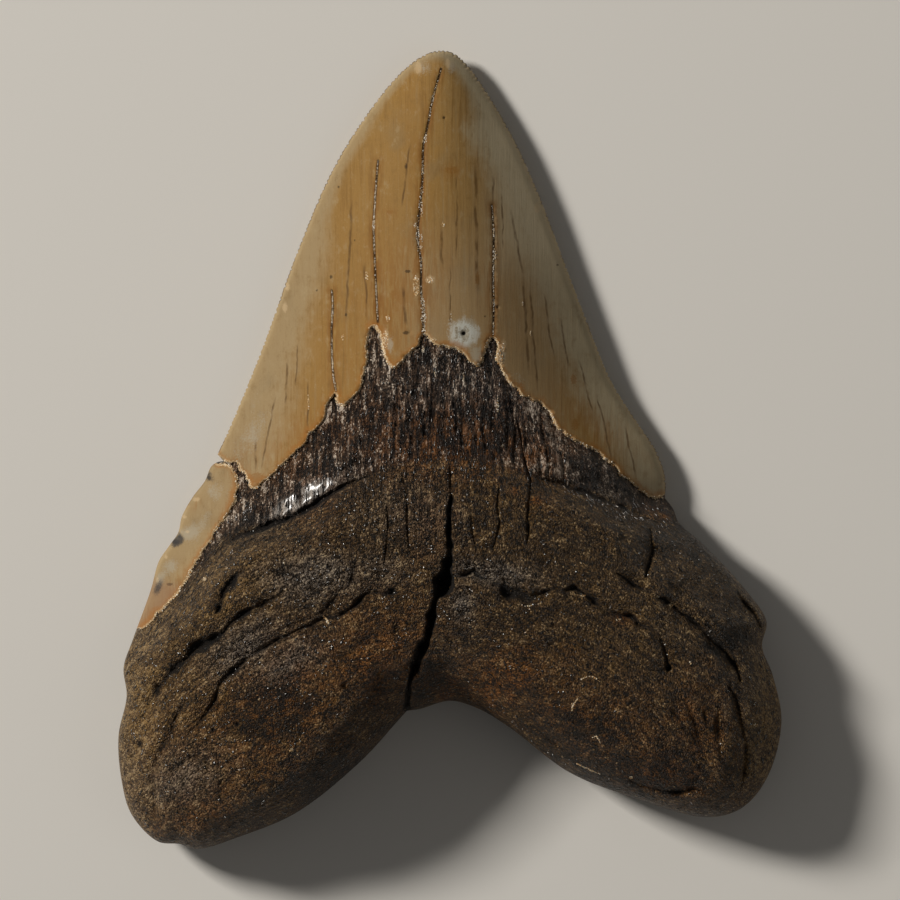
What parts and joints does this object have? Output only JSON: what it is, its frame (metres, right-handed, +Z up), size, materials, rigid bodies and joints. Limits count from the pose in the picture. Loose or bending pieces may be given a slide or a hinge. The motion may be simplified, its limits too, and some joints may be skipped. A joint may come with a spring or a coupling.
{
  "type": "megalodon tooth",
  "caption": "Fossil shark tooth with a broad serrated blade, a fibrous band below the enamel and a cracked two-lobed root.",
  "frame": {"origin": "on the table, under the middle of the bounding box", "axes": "the tooth lies on its labial face: +Y from the root to the tip, +Z up out of the bulging lingual face, +X to the right seen from above"},
  "size_m": [0.106, 0.1276, 0.0263],
  "materials": {
    "fossil_tooth": "mineralised tooth: glossy tan enamel on the blade, dark fibrous band, coarse grainy dark brown root"
  },
  "bodies": {
    "root": {"tooth": "fossil_tooth"}
  },
  "joints": []
}
